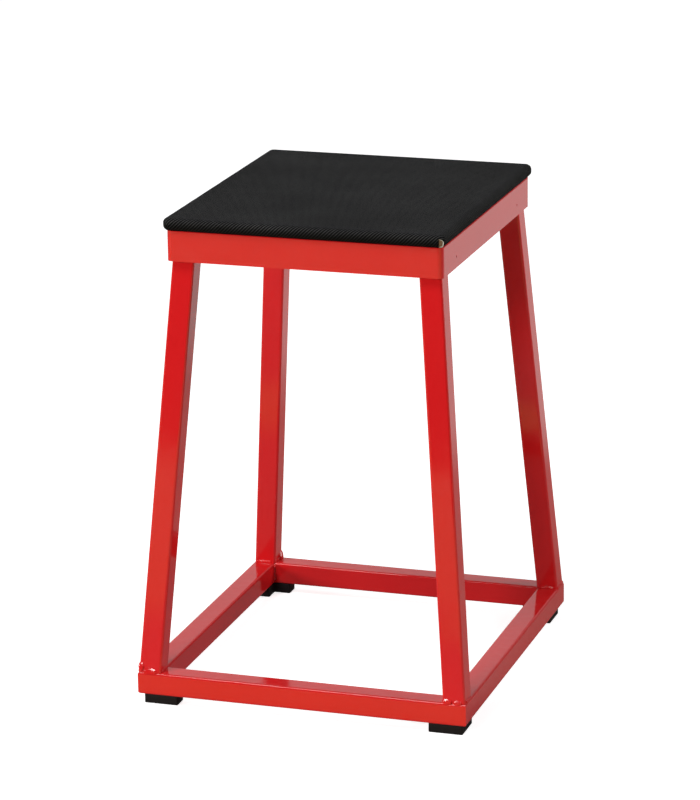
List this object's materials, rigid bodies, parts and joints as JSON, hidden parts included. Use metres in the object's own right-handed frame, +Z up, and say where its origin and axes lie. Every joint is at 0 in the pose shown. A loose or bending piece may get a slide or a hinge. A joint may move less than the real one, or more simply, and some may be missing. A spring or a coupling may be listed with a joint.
{
  "type": "plyo box",
  "caption": "Tapered open-frame plyo box: welded red steel tube legs and base ring, a black cloth-wrapped board on top to jump onto, and rubber feet.",
  "frame": {"origin": "on the floor under the middle of the base ring", "axes": "+X to the right of the front, +Y from the front to the back, +Z up"},
  "size_m": [0.4226, 0.4706, 0.61],
  "materials": {
    "frame_paint": "gloss powder coat",
    "cover_cloth": "matte coated weave",
    "board_wood": "raw sheet board",
    "foot_rubber": "moulded, matte",
    "fixing_steel": "zinc plated"
  },
  "bodies": {
    "root": {"base_rail_front": "frame_paint", "base_rail_right": "frame_paint", "base_rail_rear": "frame_paint", "base_rail_left": "frame_paint", "leg_front_left": "frame_paint", "leg_front_right": "frame_paint", "leg_rear_left": "frame_paint", "leg_rear_right": "frame_paint", "apron_front": "frame_paint", "apron_right": "frame_paint", "apron_rear": "frame_paint", "apron_left": "frame_paint", "top_board": "board_wood", "top_cover": "cover_cloth", "cover_staples": "fixing_steel", "top_screws": "fixing_steel", "top_washers": "fixing_steel", "foot_front_left": "foot_rubber", "foot_front_right": "foot_rubber", "foot_rear_left": "foot_rubber", "foot_rear_right": "foot_rubber", "foot_screws": "fixing_steel", "foot_washers": "fixing_steel", "leg_base_welds": "frame_paint", "leg_top_welds": "frame_paint", "base_corner_welds": "frame_paint"}
  },
  "joints": []
}
